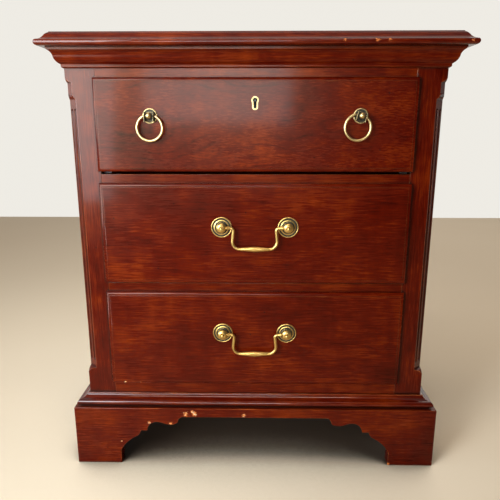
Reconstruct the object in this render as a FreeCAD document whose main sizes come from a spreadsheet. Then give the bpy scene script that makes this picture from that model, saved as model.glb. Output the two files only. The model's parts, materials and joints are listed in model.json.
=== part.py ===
import FreeCAD, Part
import math
import os
import re

import Sketcher
from FreeCAD import Placement, Rotation, Vector

# A three-drawer nightstand: a frame-built case on a scrolled bracket base, under a moulded top.
# +X is to the right of someone facing the drawers, +Y is to the back and +Z is up. The origin is
# on the floor, below the middle of the whole piece. Every size is in millimetres.

SIZES = {
    # case and top
    "overall_height": 725, "case_width": 587, "case_depth": 370,
    "nose_out": 31.5, "top_back": 6, "top_under": 703.4,
    "nose_round": 4.8, "edge_fillet_out": 14, "edge_fillet_low": 724.2, "edge_ogee": 14,
    "edge_mid_out": 20.3, "edge_mid_high": 718.6,
    # cornice under the top: (out, up) points of a reversed ogee
    "cornice_low": 674.5, "cornice_toe_out": 1.2, "cornice_toe_high": 676.3,
    "cornice_foot_out": 3.5, "cornice_foot_high": 680, "cornice_lip_step": 1.5,
    "ovolo": 14.7, "cornice_mid_out": 11.75, "cornice_mid_high": 691,
    "cove": 11.5, "cornice_lip_out": 18, "cornice_lip_high": 699.5, "cornice_out": 19.2,
    # front posts with stopped, fluted corners
    "post_width": 46.5, "post_depth": 42,
    "narrow_cut": 6.65, "wide_cut": 10.25,
    "stop_top": 661, "stop_narrow": 653.6, "stop_step": 637.5, "stop_wide": 628.8,
    "stop_low": 174, "stop_foot": 166, "stop_round": 10,
    "flute_round": 3.4, "flute_depth": 2.2, "flute_pitch": 10.4,
    "flute_high": 615.5, "flute_low": 187,
    # case boards
    "side_thick": 19, "back_thick": 6, "back_lap": 9, "rail_thick": 17, "rail_depth": 60,
    "stretcher_thick": 22, "bottom_rail_high": 147, "lower_rail_high": 331.5,
    "upper_rail_high": 513.5, "top_rail_low": 658,
    "runner_width": 43, "guide_high": 14, "panel_thick": 5, "bottom_panel_rise": 4,
    # bracket base and its moulding
    "base_high": 108.5, "base_out": 22.9, "base_thick": 20,
    "foot_inner": 238, "foot_knee": 25, "knee_out": 208, "knee_high": 54,
    "ledge_out": 201, "ledge_high": 65, "ledge_in": 189.5, "scroll_out": 172, "scroll_high": 82,
    "drop_out": 160, "drop_in": 137, "drop_high": 79.5, "beak_out": 134.5, "beak_high": 83,
    "apron_out": 126, "apron_high": 92, "knee_round": 62, "ankle_round": 18,
    "scroll_round": 17.3, "neck_round": 28, "drop_round": 27, "beak_round": 8.8,
    "side_arch_round": 27, "block_size": 34, "block_high": 103,
    "rear_foot": 70, "rear_slope": 36, "rear_arch_high": 60,
    "bead_round": 5, "bead_out": 18.2, "bead_low": 110.3, "moulding_high": 128,
    "moulding_neck_out": 3.6, "moulding_neck_high": 125.6, "moulding_cove": 14,
    "moulding_quirk": 1, "moulding_ease": 0.8,
    # drawers
    "face_out": 10, "lip_gap": 0.4, "lip_round": 4.4, "lip_over": 3, "field_inset": 5.8,
    "field_step": 1, "tongue_depth": 12, "fit_gap": 1.2, "wall_thick": 12, "drawer_back": 178,
    "groove_low": 8, "groove_deep": 5, "bottom_thick": 5, "tails": 4, "tail_long": 9,
    "tail_tip": 13, "tail_neck": 9, "side_rise": 0.5, "side_headroom": 8, "tongue_headroom": 1.5,
    "upper_low": 518, "upper_high": 661, "middle_low": 333.5, "middle_high": 499.5,
    "lower_low": 149.5, "lower_high": 317.5,
    # ring pulls
    "ring_spread": 324, "ring_post_high": 603.6, "plate_round": 11.6, "plate_rim": 1.1,
    "plate_web": 1, "rim_clear": 0.2, "pedestal_round": 6, "web_thick": 1.6,
    "cheek_out": 7.5, "cheek_thick": 1.3, "cheek_reach": 13.5, "cheek_up": 5.5,
    "cheek_down": 8, "ball_round": 4.8, "ball_ahead": 12.8, "stalk_round": 2,
    "ring_round": 19.6, "ring_wire": 2.1, "ring_pivot_ahead": 8, "ring_pivot_drop": 1,
    "ring_end": 9.9, "trunnion_round": 1.7, "left_pull_turn": 0, "right_pull_turn": 16,
    # bail pulls
    "bail_spread": 108, "middle_post_high": 429.3, "lower_post_high": 246.2,
    "rosette_round": 16.8, "rosette_rim": 1, "rosette_web": 1, "rosette_groove": 0.8,
    "rib_outer": 12.8, "rib_brow": 12.3, "rib_crest": 11, "rib_inner": 10.2,
    "rib_brow_high": 2.2, "rib_crest_high": 2.6, "valley_high": 1.8, "valley_inner": 9.4,
    "boss_round": 8.2, "boss_high": 3,
    "head_round": 7.9, "head_low": 5.8, "head_brow": 6.8, "head_mid": 10.4,
    "crown_round": 3.6, "crown_high": 13, "tip_round": 2.7, "tip_ahead": 14.6,
    "neck_foot": 6, "neck_width": 4.5, "neck_low": 4.2, "neck_top": 5.3, "stem_bite": 4,
    "bail_pivot_ahead": 9, "bail_wire": 2.5, "pin_round": 2, "pin_long": 5.5, "pin_gap": 0.3,
    "collar_long": 2,
    "bail_elbow_out": 34, "bail_elbow": 4.6, "bail_hip_out": 37.4, "bail_bend": 12.5,
    "bail_drop": 34.6, "grip_half": 26, "grip_round": 4.5, "grip_end": 2.2,
    "grip_shoulder": 10.4, "grip_shoulder_round": 3.78, "collar_round": 3.7,
    "stem_round": 2.1, "bore_gap": 0.15, "pivot_gap": 0.06, "stem_long": 36, "nut_round": 5,
    "nut_thick": 4,
    # lock and its keyhole
    "key_high": 627, "key_round": 3.5, "key_slot": 2.35, "key_drop": 10, "key_rim": 2.2,
    "key_proud": 0.6, "key_deep": 5, "lock_width": 62, "lock_tall": 46, "lock_thick": 11,
    "lock_back": 2, "bolt_width": 18, "bolt_thick": 5, "bolt_tall": 24, "bolt_throw": 6.5,
    "drill_pin": 1.3, "drill_reach": 7,
    # screws that hold the top down
    "screw_round": 2.2, "screw_long": 40, "screw_bite": 12, "screw_inset": 190,
}

FRONT = "(nose_out - case_depth - top_back) / 2"
BACK = "(nose_out + case_depth - top_back) / 2"
HALF = "case_width / 2"
OPENING = "(case_width / 2 - post_width)"
INSIDE = "(case_width / 2 - side_thick)"
FACE = f"{FRONT} - face_out"
LOCK_TOP = "(top_rail_low - fit_gap)"

doc = FreeCAD.newDocument("Nightstand")
sheet = doc.addObject("Spreadsheet::Sheet", "Dims")
subparts = []


def fill_sheet():
    """Write every driving size to the sheet, one named cell each."""
    for row, (alias, size) in enumerate(SIZES.items(), start=1):
        sheet.set(f"A{row}", alias)
        sheet.set(f"B{row}", str(size))
        sheet.setAlias(f"B{row}", alias)
    doc.recompute()


def bound(expression):
    """Point the names in an expression at their cells."""
    def cell(word):
        name = word.group()
        return f"Dims.{name}" if name in SIZES else name
    return re.sub(r"[a-z][a-z_]*", cell, expression)


def number(expression):
    """The value of an expression now."""
    return float(sheet.evalExpression(bound(expression)))


def keep(piece, label):
    """Name a finished piece and list it for export."""
    piece.Label = label
    subparts.append(piece)
    return piece


def place(piece, x="0", y="0", z="0", rotation=None):
    """Stand a piece at a point of the frame."""
    if rotation is not None:
        piece.Placement = Placement(Vector(), rotation)
    for axis, expression in zip("xyz", (x, y, z)):
        piece.setExpression(f"Placement.Base.{axis}", bound(expression))
    return piece


# Boards and simple solids

def board(name, x, y, z):
    """A square-edged board. Each of x, y and z is its (start, end) along that axis."""
    piece = doc.addObject("Part::Box", name)
    for size, (start, end) in zip(("Length", "Width", "Height"), (x, y, z)):
        piece.setExpression(size, bound(f"({end}) - ({start})"))
    return place(piece, x[0], y[0], z[0])


def rod(name, radius, length, x, y, z, rotation=None):
    """A round rod that starts at a point and runs along +Z, or where its rotation turns it."""
    piece = doc.addObject("Part::Cylinder", name)
    piece.setExpression("Radius", bound(radius))
    piece.setExpression("Height", bound(length))
    return place(piece, x, y, z, rotation)


def ball(name, radius, x, y, z):
    piece = doc.addObject("Part::Sphere", name)
    piece.setExpression("Radius", bound(radius))
    return place(piece, x, y, z)


def joined(name, pieces):
    piece = doc.addObject("Part::MultiFuse", name)
    piece.Shapes = pieces
    piece.Refine = True
    return piece


def cut(name, base, tools):
    """A base with one or more tools taken out of it."""
    piece = doc.addObject("Part::Cut", name)
    piece.Base = base
    piece.Tool = tools[0] if len(tools) == 1 else joined(f"{name}_tool", tools)
    return piece


def group(name, pieces):
    """Separate solids that share one node."""
    piece = doc.addObject("Part::Compound", name)
    piece.Links = pieces
    return piece


TO_FRONT = Rotation(Vector(1, 0, 0), 90)
ALONG_X = Rotation(Vector(0, 1, 0), 90)


# Sketched solids

def new_body(name, x="0", y="0", z="0", rotation=None):
    return place(doc.addObject("PartDesign::Body", name), x, y, z, rotation)


def arc_between(start, end, radius):
    """The shorter arc between two points, turning left where the radius is positive."""
    chord = end - start
    middle = (start + end) / 2
    reach = math.sqrt(max(radius ** 2 - (chord.Length / 2) ** 2, 0))
    left = Vector(-chord.y, chord.x, 0).normalize()
    centre = middle + left * math.copysign(reach, radius)
    first, last = (start, end) if radius > 0 else (end, start)
    angles = [math.atan2(p.y - centre.y, p.x - centre.x) for p in (first, last)]
    return Part.ArcOfCircle(Part.Circle(centre, Vector(0, 0, 1), abs(radius)), *angles)


def drawn(body, plane, points, offset="0", shift="0", turn=0, closed=True):
    """A sketch on one of the body's origin planes, with every corner held to the sheet.

    A point is (across, up), or (across, up, turning radius) where the edge that leaves it is an
    arc, with a minus sign before the radius of an arc that turns right.
    """
    sketch = body.newObject("Sketcher::SketchObject", "Sketch")
    planes = {feature.Role: feature for feature in body.Origin.OriginFeatures}
    sketch.AttachmentSupport = [(planes[plane], "")]
    sketch.MapMode = "FlatFace"
    sketch.AttachmentOffset = Placement(Vector(), Rotation(Vector(0, 1, 0), turn))
    sketch.setExpression("AttachmentOffset.Base.z", bound(offset))
    sketch.setExpression("AttachmentOffset.Base.y", bound(shift))
    corners = [Vector(number(point[0]), number(point[1]), 0) for point in points]
    count = len(points)
    ends = []
    for index in range(count if closed else count - 1):
        start = corners[index]
        end = corners[(index + 1) % count]
        if len(points[index]) == 3:
            radius = number(points[index][2])
            sketch.addGeometry(arc_between(start, end, radius))
            held = sketch.addConstraint(Sketcher.Constraint("Radius", index, abs(radius)))
            sketch.setExpression(f"Constraints[{held}]", bound(f"abs({points[index][2]})"))
            ends.append((1, 2) if radius > 0 else (2, 1))
        else:
            sketch.addGeometry(Part.LineSegment(start, end))
            ends.append((1, 2))
    edges = len(ends)
    for index in range(edges if closed else edges - 1):
        following = (index + 1) % edges
        joint = Sketcher.Constraint("Coincident", index, ends[index][1], following, ends[following][0])
        sketch.addConstraint(joint)
    for index in range(count):
        edge, end = (index, ends[index][0]) if index < edges else (edges - 1, ends[-1][1])
        for kind, expression in zip(("DistanceX", "DistanceY"), points[index]):
            hold = Sketcher.Constraint(kind, -1, 1, edge, end, number(expression))
            sketch.setExpression(f"Constraints[{sketch.addConstraint(hold)}]", bound(expression))
    return sketch


def disc(body, plane, radius, offset="0"):
    """A sketch of one circle round the body's own axis."""
    sketch = drawn(body, plane, [], offset)
    sketch.addGeometry(Part.Circle(Vector(), Vector(0, 0, 1), number(radius)))
    sketch.addConstraint(Sketcher.Constraint("Coincident", 0, 3, -1, 1))
    held = sketch.addConstraint(Sketcher.Constraint("Radius", 0, number(radius)))
    sketch.setExpression(f"Constraints[{held}]", bound(radius))
    return sketch


def rectangle(left, right, low, high):
    return [(left, low), (right, low), (right, high), (left, high)]


def flipped(points):
    """The same outline on the other side of the upright axis."""
    turned_over = []
    for point in points:
        other = [f"-({point[0]})", point[1]]
        if len(point) == 3:
            other.append(f"-({point[2]})")
        turned_over.append(tuple(other))
    return turned_over


def pad(body, sketch, length, midplane=False):
    feature = body.newObject("PartDesign::Pad", "Pad")
    feature.Profile = sketch
    feature.setExpression("Length", bound(length))
    feature.Midplane = midplane
    return feature


def pocket(body, sketch):
    """Cut a sketch right through the body, both ways, and check that it took wood away."""
    doc.recompute()
    before = body.Shape.Volume
    feature = body.newObject("PartDesign::Pocket", "Pocket")
    feature.Profile = sketch
    feature.Type = "ThroughAll"
    feature.Midplane = True
    doc.recompute()
    if body.Shape.Volume > before - 1:
        raise RuntimeError(f"{body.Name}: a pocket cut nothing")
    return feature


def spun(body, sketch, axis="V_Axis"):
    feature = body.newObject("PartDesign::Revolution", "Revolution")
    feature.Profile = sketch
    feature.ReferenceAxis = (sketch, [axis])
    feature.Angle = 360
    return feature


def turned(name, points, x, y, z):
    """A lathe-turned piece on a drawer front: points are (radius, distance ahead)."""
    body = new_body(name, x, y, z, TO_FRONT)
    spun(body, drawn(body, "XZ_Plane", points))
    return body


# The moulded top

def edge_waste(side, base):
    """What the cutter takes off the top's edge, as (out, up), on one side of its middle."""
    points = [
        (f"{base} + edge_fillet_out", "overall_height + 1"),
        (f"{base} + edge_fillet_out", "edge_fillet_low", "-edge_ogee"),
        (f"{base} + edge_mid_out", "edge_mid_high", "edge_ogee"),
        (f"{base} + nose_out - nose_round", "top_under + 2 * nose_round", "-nose_round"),
        (f"{base} + nose_out", "top_under + nose_round", "-nose_round"),
        (f"{base} + nose_out - nose_round", "top_under"),
        (f"{base} + nose_out - nose_round", "top_under - 1"),
        (f"{base} + nose_out + 1", "top_under - 1"),
        (f"{base} + nose_out + 1", "overall_height + 1"),
    ]
    return points if side > 0 else flipped(points)


def make_top_board():
    body = new_body("TopBoard", "0", FRONT)
    blank = rectangle(f"-({HALF}) - nose_out", f"{HALF} + nose_out", "-nose_out",
                      "case_depth + top_back")
    pad(body, drawn(body, "XY_Plane", blank, "top_under"), "overall_height - top_under")
    pocket(body, drawn(body, "YZ_Plane", edge_waste(-1, "0")))
    for side in (-1, 1):
        pocket(body, drawn(body, "XZ_Plane", edge_waste(side, HALF)))
    keep(body, "top_board")


# Mouldings that run round the front and sides

MITRE = "mitre"
SQUARE = "square"


def end_waste(side, length, reach, kind):
    """The plan of what is sawn off one end of a strip."""
    inner = f"({length}) / 2"
    outer = f"{inner} + {reach}"
    points = [(inner, "0"), (outer, "0"), (outer, f"-({reach})")]
    if kind == SQUARE:
        points.append((inner, f"-({reach})"))
    return points if side > 0 else flipped(points)


def strip(body, outline, length, reach, ends):
    """Run an (out, up) outline along the body's X axis and saw both ends."""
    section = flipped(outline)
    pad(body, drawn(body, "YZ_Plane", section), f"{length} + 2 * ({reach})", midplane=True)
    for side, kind in zip((-1, 1), ends):
        pocket(body, drawn(body, "XY_Plane", end_waste(side, length, f"{reach} + 1", kind)))


SIDE_MIDDLE = f"({FRONT} + {BACK}) / 2"
WALLS = {
    "front": ("0", FRONT, None, "case_width", (MITRE, MITRE)),
    "left": (f"-({HALF})", SIDE_MIDDLE, Rotation(Vector(0, 0, 1), -90), "case_depth", (SQUARE, MITRE)),
    "right": (HALF, SIDE_MIDDLE, Rotation(Vector(0, 0, 1), 90), "case_depth", (MITRE, SQUARE)),
}

CORNICE = [
    ("0", "cornice_low"),
    ("cornice_toe_out", "cornice_low"),
    ("cornice_foot_out", "cornice_toe_high"),
    ("cornice_foot_out", "cornice_foot_high", "ovolo"),
    ("cornice_mid_out", "cornice_mid_high", "-cove"),
    ("cornice_lip_out", "cornice_lip_high"),
    ("cornice_lip_out", "cornice_lip_high + cornice_lip_step"),
    ("cornice_out", "cornice_lip_high + cornice_lip_step"),
    ("cornice_out", "top_under"),
    ("0", "top_under"),
]

BASE_MOULDING = [
    ("0", "base_high"),
    ("bead_out - bead_round", "base_high"),
    ("bead_out - bead_round", "bead_low", "bead_round"),
    ("bead_out", "bead_low + bead_round", "bead_round"),
    ("bead_out - bead_round", "bead_low + 2 * bead_round"),
    ("bead_out - bead_round - moulding_quirk", "bead_low + 2 * bead_round", "-moulding_cove"),
    ("moulding_neck_out", "moulding_neck_high"),
    ("moulding_neck_out", "moulding_high - moulding_ease"),
    ("moulding_neck_out - moulding_ease", "moulding_high"),
    ("0", "moulding_high"),
]


def make_mouldings(name, outline, reach):
    for wall, (x, y, rotation, length, ends) in WALLS.items():
        body = new_body(f"{name}_{wall}_body", x, y, "0", rotation)
        strip(body, outline, length, reach, ends)
        keep(body, f"{name}_{wall}")


# The bracket base

def foot_scroll():
    """The sawn outline from the floor up to the apron, as (distance from the middle, up)."""
    return [
        ("foot_inner", "0"),
        ("foot_inner", "foot_knee", "knee_round"),
        ("knee_out", "knee_high", "-ankle_round"),
        ("ledge_out", "ledge_high"),
        ("ledge_in", "ledge_high", "scroll_round"),
        ("scroll_out", "scroll_high", "neck_round"),
        ("drop_out", "drop_high", "-drop_round"),
        ("drop_in", "drop_high"),
        ("beak_out", "beak_high", "beak_round"),
        ("apron_out", "apron_high"),
    ]


def side_scroll(end):
    """The shorter outline at one end of a side board, which reaches that far from its middle."""
    shift = f"({end}) - ({HALF} + base_out)"
    return [
        (f"foot_inner + {shift}", "0"),
        (f"foot_inner + {shift}", "foot_knee", "knee_round"),
        (f"knee_out + {shift}", "knee_high", "-ankle_round"),
        (f"ledge_out + {shift}", "ledge_high"),
        (f"ledge_in + {shift}", "ledge_high", "side_arch_round"),
        (f"ledge_in - side_arch_round + {shift}", "apron_high"),
    ]


def returned(points):
    """The same outline walked from its last point to its first."""
    walked = []
    for index in reversed(range(len(points))):
        arrival = points[index - 1][2:] if index > 0 else ()
        walked.append(points[index][:2] + tuple(f"-({radius})" for radius in arrival))
    return walked


def base_board(name, outline, x, y, rotation, length, ends):
    """A scrolled board: it is sawn from a plank and mitred at the front corners."""
    body = new_body(f"{name}_body", x, y, "0", rotation)
    pad(body, drawn(body, "XZ_Plane", outline, "base_out - base_thick"), "base_thick")
    for side, kind in zip((-1, 1), ends):
        if kind == MITRE:
            pocket(body, drawn(body, "XY_Plane", end_waste(side, length, "base_out + 1", kind)))
    keep(body, name)


def make_bracket_base():
    tip = f"({HALF} + base_out)"
    front_outline = [(f"-{tip}", "base_high"), (f"-{tip}", "0")]
    front_outline += flipped(foot_scroll()) + returned(foot_scroll())
    front_outline += [(tip, "0"), (tip, "base_high")]
    base_board("bracket_base_front", front_outline, *WALLS["front"])

    square_end = "(case_depth / 2)"
    mitred_end = "(case_depth / 2 + base_out)"
    side_outline = [(f"-{square_end}", "base_high"), (f"-{square_end}", "0")]
    side_outline += flipped(side_scroll(square_end)) + returned(side_scroll(mitred_end))
    side_outline += [(mitred_end, "0"), (mitred_end, "base_high")]
    base_board("bracket_base_left", side_outline, *WALLS["left"])
    base_board("bracket_base_right", flipped(side_outline), *WALLS["right"])

    inner = f"({HALF} + base_out - base_thick)"
    arch_half = [
        (inner, "0"),
        (f"{inner} - rear_foot", "0"),
        (f"{inner} - rear_foot - rear_slope", "rear_arch_high"),
    ]
    arch = flipped(arch_half) + returned(arch_half)
    arch += [(inner, "base_high"), (f"-{inner}", "base_high")]
    rear = new_body("RearBracket", "0", BACK)
    pad(rear, drawn(rear, "XZ_Plane", arch), "side_thick")
    keep(rear, "bracket_base_rear")

    blocks = []
    for side in (-1, 1):
        x = across(side, f"{inner} - block_size", inner)
        inside_front = f"{FRONT} - base_out + base_thick"
        inside_back = f"{BACK} - side_thick"
        for low, high in ((inside_front, inside_front + " + block_size"),
                          (inside_back + " - block_size", inside_back)):
            z = ("base_high - block_high", "base_high")
            blocks.append(board("GlueBlock", x, (low, high), z))
    keep(group("GlueBlocks", blocks), "corner_glue_blocks")


# The case

def make_front_post(side, label):
    """A square post with a stopped chamfer on its outer corner and two flutes in the chamfer."""
    outer = f"{side} * {HALF}"
    body = new_body(f"{label}_body", outer, FRONT)
    plan = rectangle("0", "post_width", "0", "post_depth")
    if side > 0:
        plan = flipped(plan)
    pad(body, drawn(body, "XY_Plane", plan, "base_high"), "top_under - base_high")
    chamfer = [
        ("-1", "stop_top"),
        ("-1", "stop_foot"),
        ("0", "stop_foot", "-stop_round"),
        ("wide_cut", "stop_low"),
        ("wide_cut", "stop_wide", "-stop_round"),
        ("narrow_cut", "stop_step"),
        ("narrow_cut", "stop_narrow", "-stop_round"),
        ("0", "stop_top"),
    ]
    pocket(body, drawn(body, "XZ_Plane", chamfer, turn=45 if side < 0 else 135))
    flutes = []
    depth = "(wide_cut + flute_depth - flute_round)"
    for offset in ("-flute_pitch / 2", "flute_pitch / 2"):
        x = f"{outer} - ({side}) * sqrt(0.5) * ({depth} - ({offset}))"
        y = f"{FRONT} + sqrt(0.5) * ({depth} + {offset})"
        low = "flute_low + flute_round"
        high = "flute_high - flute_round"
        flutes.append(rod("Flute", "flute_round", f"{high} - ({low})", x, y, low))
        flutes.append(ball("FluteEnd", "flute_round", x, y, low))
        flutes.append(ball("FluteEnd", "flute_round", x, y, high))
    keep(cut(f"{label}_cut", body, flutes), label)


def across(side, near, far):
    """The (start, end) along X between two distances from the middle, on one side of it."""
    return (near, far) if side > 0 else (f"-({far})", f"-({near})")


def make_case():
    for side, name in ((-1, "left"), (1, "right")):
        make_front_post(side, f"front_post_{name}")
        panel = board(f"SidePanel_{name}", across(side, INSIDE, HALF),
                      (f"{FRONT} + post_depth", BACK), ("base_high", "top_under"))
        rabbet = board(f"Rabbet_{name}", across(side, INSIDE, f"{INSIDE} + back_lap"),
                       (f"{BACK} - back_thick", BACK), ("base_high", "top_under"))
        keep(cut(f"SidePanel_{name}_cut", panel, [rabbet]), f"side_panel_{name}")

    lapped = (f"-{INSIDE} - back_lap", f"{INSIDE} + back_lap")
    inside = (f"-{INSIDE}", INSIDE)
    opening = (f"-{OPENING}", OPENING)
    behind = f"{FRONT} + stretcher_thick"
    rear = f"{BACK} - back_thick"
    keep(board("BackPanel", lapped, (rear, BACK), ("base_high", "top_under")), "back_panel")

    rail = board("TopRail", opening, (FRONT, behind), ("top_rail_low", "top_under"))
    mortise_y = f"{FRONT} + tongue_depth - lock_thick + lock_back + 1"
    mortise = board("Mortise", ("-bolt_width / 2 - 1", "bolt_width / 2 + 1"),
                    (mortise_y, f"{mortise_y} + bolt_thick + 2"),
                    ("top_rail_low", "top_rail_low + bolt_throw + 2"))
    keep(cut("TopRail_cut", rail, [mortise]), "top_rail")
    for name in ("upper", "lower"):
        top = f"{name}_rail_high"
        keep(board(f"Rail_{name}", opening, (FRONT, f"{FRONT} + rail_depth"),
                   (f"{top} - rail_thick", top)), f"{name}_drawer_rail")
    keep(board("BottomRail", opening, (FRONT, behind), ("base_high", "bottom_rail_high")),
         "bottom_rail")
    keep(board("RearTopRail", inside, (f"{rear} - side_thick", rear), ("top_rail_low", "top_under")),
         "rear_top_rail")

    post_back = f"{FRONT} + post_depth"
    rail_back = f"{FRONT} + rail_depth"
    runners = []
    guides = []
    kickers = []
    for side in (-1, 1):
        strip_x = across(side, f"{INSIDE} - runner_width", INSIDE)
        guide_x = across(side, OPENING, INSIDE)
        for level, start in (("bottom", post_back), ("lower", rail_back), ("upper", rail_back)):
            top = f"{level}_rail_high"
            runners.append(board("Runner", strip_x, (start, rear), (f"{top} - rail_thick", top)))
            guides.append(board("Guide", guide_x, (start, rear), (top, f"{top} + guide_high")))
        kickers.append(board("Kicker", strip_x, (post_back, f"{rear} - side_thick"),
                             ("top_rail_low", "top_rail_low + rail_thick")))
    keep(group("Runners", runners), "drawer_runners")
    keep(group("Guides", guides), "drawer_guides")
    keep(group("Kickers", kickers), "drawer_kickers")

    between = (f"-{INSIDE} + runner_width", f"{INSIDE} - runner_width")
    dust = []
    for level in ("lower", "upper"):
        middle = f"{level}_rail_high - rail_thick / 2"
        dust.append(board("DustPanel", between, (rail_back, rear),
                          (f"{middle} - panel_thick / 2", f"{middle} + panel_thick / 2")))
    keep(group("DustPanels", dust), "dust_panels")
    panel_low = "base_high + bottom_panel_rise"
    keep(board("BottomPanel", between, (behind, rear), (panel_low, f"{panel_low} + panel_thick")),
         "bottom_panel")

    screws = []
    for side in (-1, 1):
        for y in (f"{FRONT} + stretcher_thick / 2", f"{rear} - side_thick / 2"):
            x = f"{side} * screw_inset"
            low = "top_under + screw_bite - screw_long"
            screws.append(rod("Shank", "screw_round", "screw_long", x, y, low))
    keep(group("TopScrews", screws), "top_screws")


# Drawers

def drawer_levels(name):
    """The floor and ceiling of a drawer's opening."""
    below = {"upper": "upper", "middle": "lower", "lower": "bottom"}[name]
    ceiling = {"upper": "top_rail_low", "middle": "upper_rail_high - rail_thick",
               "lower": "lower_rail_high - rail_thick"}[name]
    return f"{below}_rail_high", ceiling


def make_drawer_front(name, holes, tails, bottom):
    """A thumbnail-moulded front: tongue in the opening, lip over the case, raised field."""
    ceiling = drawer_levels(name)[1]
    low = f"{name}_low"
    high = f"{name}_high"
    body = new_body(f"Front_{name}", "0", f"{FRONT} + tongue_depth")
    half = f"{OPENING} - fit_gap"
    tongue = rectangle(f"-({half})", half, low, f"{ceiling} - tongue_headroom")
    pad(body, drawn(body, "XZ_Plane", tongue), "tongue_depth + lip_gap")
    lip = f"{OPENING} + lip_over"
    lip_depth = "face_out - field_step - lip_gap"
    outline = rectangle(f"-({lip})", lip, low, high)
    slab = pad(body, drawn(body, "XZ_Plane", outline, "tongue_depth + lip_gap"), lip_depth)
    doc.recompute()
    plane = -number("tongue_depth + lip_gap") - number(lip_depth)
    rim = [f"Edge{index}" for index, edge in enumerate(slab.Shape.Edges, start=1)
           if all(abs(vertex.Y - plane) < 1e-4 for vertex in edge.Vertexes)]
    thumbnail = body.newObject("PartDesign::Fillet", "Thumbnail")
    thumbnail.Base = (slab, rim)
    thumbnail.setExpression("Radius", bound("lip_round"))
    doc.recompute()
    field = rectangle(f"-({lip}) + field_inset", f"{lip} - field_inset", f"{low} + field_inset",
                      f"{high} - field_inset")
    pad(body, drawn(body, "XZ_Plane", field, f"tongue_depth + lip_gap + {lip_depth}"), "field_step")
    keep(cut(f"Front_{name}_cut", body, holes + [tails, bottom]), f"{name}_drawer_front")


def make_dovetails(low, high, side):
    """The fanned tails on a drawer side's front end, which are also cut out of the front."""
    tails = []
    for index in range(int(number("tails"))):
        middle = f"{low} + ({high} - ({low})) * ({index} + 0.5) / tails"
        tail = doc.addObject("Part::Wedge", "Tail")
        limits = {
            "Xmin": "0", "Xmax": "wall_thick", "X2min": "0", "X2max": "wall_thick",
            "Ymin": "0", "Ymax": "tail_long",
            "Zmin": "-tail_tip", "Zmax": "tail_tip", "Z2min": "-tail_neck", "Z2max": "tail_neck",
        }
        for limit, expression in limits.items():
            tail.setExpression(limit, bound(expression))
        x = across(side, f"{OPENING} - fit_gap - wall_thick", f"{OPENING} - fit_gap")[0]
        place(tail, x, f"{FRONT} + tongue_depth - tail_long", middle)
        tails.append(tail)
    return tails


def make_drawer(name, holes):
    floor, ceiling = drawer_levels(name)
    low = f"{floor} + side_rise"
    high = f"{ceiling} - side_headroom"
    start = f"{FRONT} + tongue_depth"
    outer = f"({OPENING} - fit_gap)"
    inner = f"({outer} - wall_thick)"
    groove_z = (f"{floor} + groove_low", f"{floor} + groove_low + bottom_thick")
    bottom = board(f"Bottom_{name}", (f"-{inner} - groove_deep", f"{inner} + groove_deep"),
                   (f"{start} - groove_deep", "drawer_back"), groove_z)
    sockets = []
    for side, hand in ((-1, "left"), (1, "right")):
        tails = make_dovetails(f"{name}_low", high, side)
        sockets += tails
        wall = board(f"Wall_{name}", across(side, inner, outer), (start, "drawer_back"), (low, high))
        wall_with_tails = joined(f"Wall_{name}_{hand}_tails", [wall] + tails)
        keep(cut(f"Wall_{name}_{hand}_cut", wall_with_tails, [bottom]), f"{name}_drawer_side_{hand}")
    make_drawer_front(name, holes, joined(f"Sockets_{name}", sockets), bottom)
    keep(board(f"Back_{name}", (f"-{inner}", inner), ("drawer_back - wall_thick", "drawer_back"),
               (groove_z[1], high)), f"{name}_drawer_back")
    keep(bottom, f"{name}_drawer_bottom")


def stem_hole(x, z):
    """The hole for a pull's threaded stem, right through a drawer front."""
    return rod("StemHole", "stem_round + bore_gap", "tongue_depth + face_out + 2", x,
               f"{FRONT} + tongue_depth + 1", z, TO_FRONT)


def stem(x, z, ahead):
    """The threaded stem behind a pull, from inside the drawer to a distance ahead of its face."""
    return rod("Stem", "stem_round", f"stem_long + {ahead}", x, f"{FACE} + stem_long", z, TO_FRONT)


def nut(x, z):
    """The hexagon nut that draws a pull tight from inside the drawer."""
    y = f"{FRONT} + tongue_depth + nut_thick"
    body = doc.addObject("Part::Prism", "NutBlank")
    body.Polygon = 6
    body.setExpression("Circumradius", bound("nut_round"))
    body.setExpression("Height", bound("nut_thick"))
    place(body, x, y, z, TO_FRONT)
    thread = rod("NutThread", "stem_round + bore_gap", "nut_thick + 2", x, f"{y} + 1", z, TO_FRONT)
    return cut("Nut", body, [thread])


# Ring pulls on the upper drawer

def set_on_post(piece, x, z, turn):
    """Stand a piece modelled round a post's foot on the drawer face, turned about the post."""
    rotation = Rotation(Vector(0, 1, 0), number(turn)) * piece.Placement.Rotation
    return place(piece, x, FACE, z, rotation)


def make_saddle(hand):
    """A ball finial between two cheeks that are bored for the ring's ends, all on one stem."""
    upright = ("-cheek_down", "cheek_up")
    foot = "plate_web + plate_rim + rim_clear"
    near = "cheek_out - cheek_thick"
    cheeks = [board("Cheek", x, ("-cheek_reach", f"-({foot})"), upright)
              for x in (("-cheek_out", f"-({near})"), (near, "cheek_out"))]
    web = board("Web", ("-cheek_out", "cheek_out"), (f"-({foot} + web_thick)", f"-({foot})"), upright)
    pedestal = rod("Pedestal", "pedestal_round", foot + " - plate_web", "0", "-plate_web", "0", TO_FRONT)
    stalk = rod("Stalk", "stalk_round", "stem_long + ball_ahead", "0", "stem_long", "0", TO_FRONT)
    finial = ball("Finial", "ball_round", "0", "-ball_ahead", "0")
    saddle = joined(f"Saddle_{hand}", cheeks + [web, pedestal, stalk, finial])
    pivot = rod("PivotHole", "trunnion_round + pivot_gap", "2 * cheek_out + 2", "-cheek_out - 1",
                "-ring_pivot_ahead", "-ring_pivot_drop", ALONG_X)
    return cut(f"Post_{hand}", saddle, [pivot])


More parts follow.
